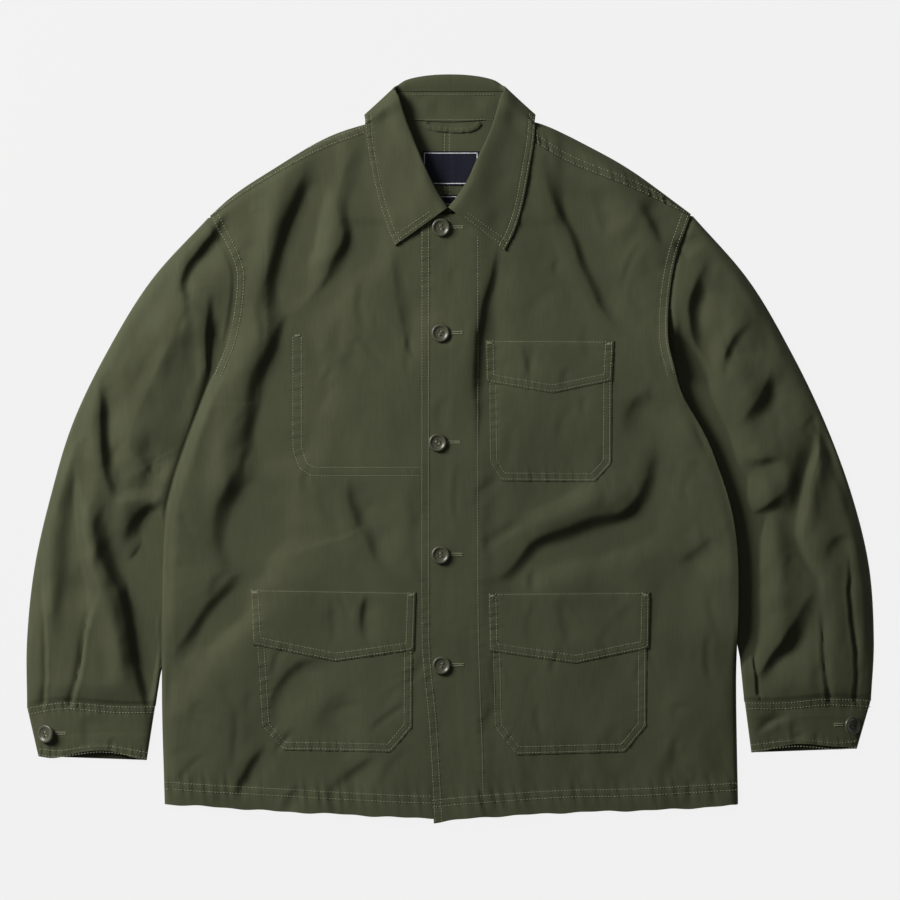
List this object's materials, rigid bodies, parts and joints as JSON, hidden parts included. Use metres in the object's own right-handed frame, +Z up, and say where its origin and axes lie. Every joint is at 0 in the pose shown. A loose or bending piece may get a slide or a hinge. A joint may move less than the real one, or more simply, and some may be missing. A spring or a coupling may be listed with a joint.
{
  "type": "chore jacket, buttoned and laid flat",
  "caption": "A loose olive chore jacket in heavy cotton twill, buttoned and laid flat face up, with a turned-down collar, patch pockets with pointed bands and pleated, buttoned cuffs.",
  "frame": {"origin": "centre of the flat underside that lies on the surface, in the middle of the whole outline", "axes": "+X towards the wearer's left sleeve, +Y towards the collar, +Z up from the surface, out of the fronts"},
  "size_m": [0.8915, 0.7862, 0.0207],
  "materials": {
    "cloth": "olive cotton twill, matt",
    "button": "olive-brown, lightly mottled, satin",
    "label": "woven, near black navy with a pale border"
  },
  "bodies": {
    "root": {"back_left": "cloth", "back_right": "cloth", "front_left": "cloth", "front_right": "cloth", "sleeve_left": "cloth", "sleeve_right": "cloth", "cuff_left": "cloth", "cuff_right": "cloth", "collar_stand": "cloth", "collar_leaf": "cloth", "chest_pocket": "cloth", "chest_pocket_band": "cloth", "hip_pocket_left": "cloth", "hip_pocket_left_band": "cloth", "hip_pocket_right": "cloth", "hip_pocket_right_band": "cloth", "hanger_loop": "cloth", "button_front_1": "button", "button_front_2": "button", "button_front_3": "button", "button_front_4": "button", "button_front_5": "button", "button_cuff_left": "button", "button_cuff_right": "button", "main_label": "label", "size_label": "label"}
  },
  "joints": []
}
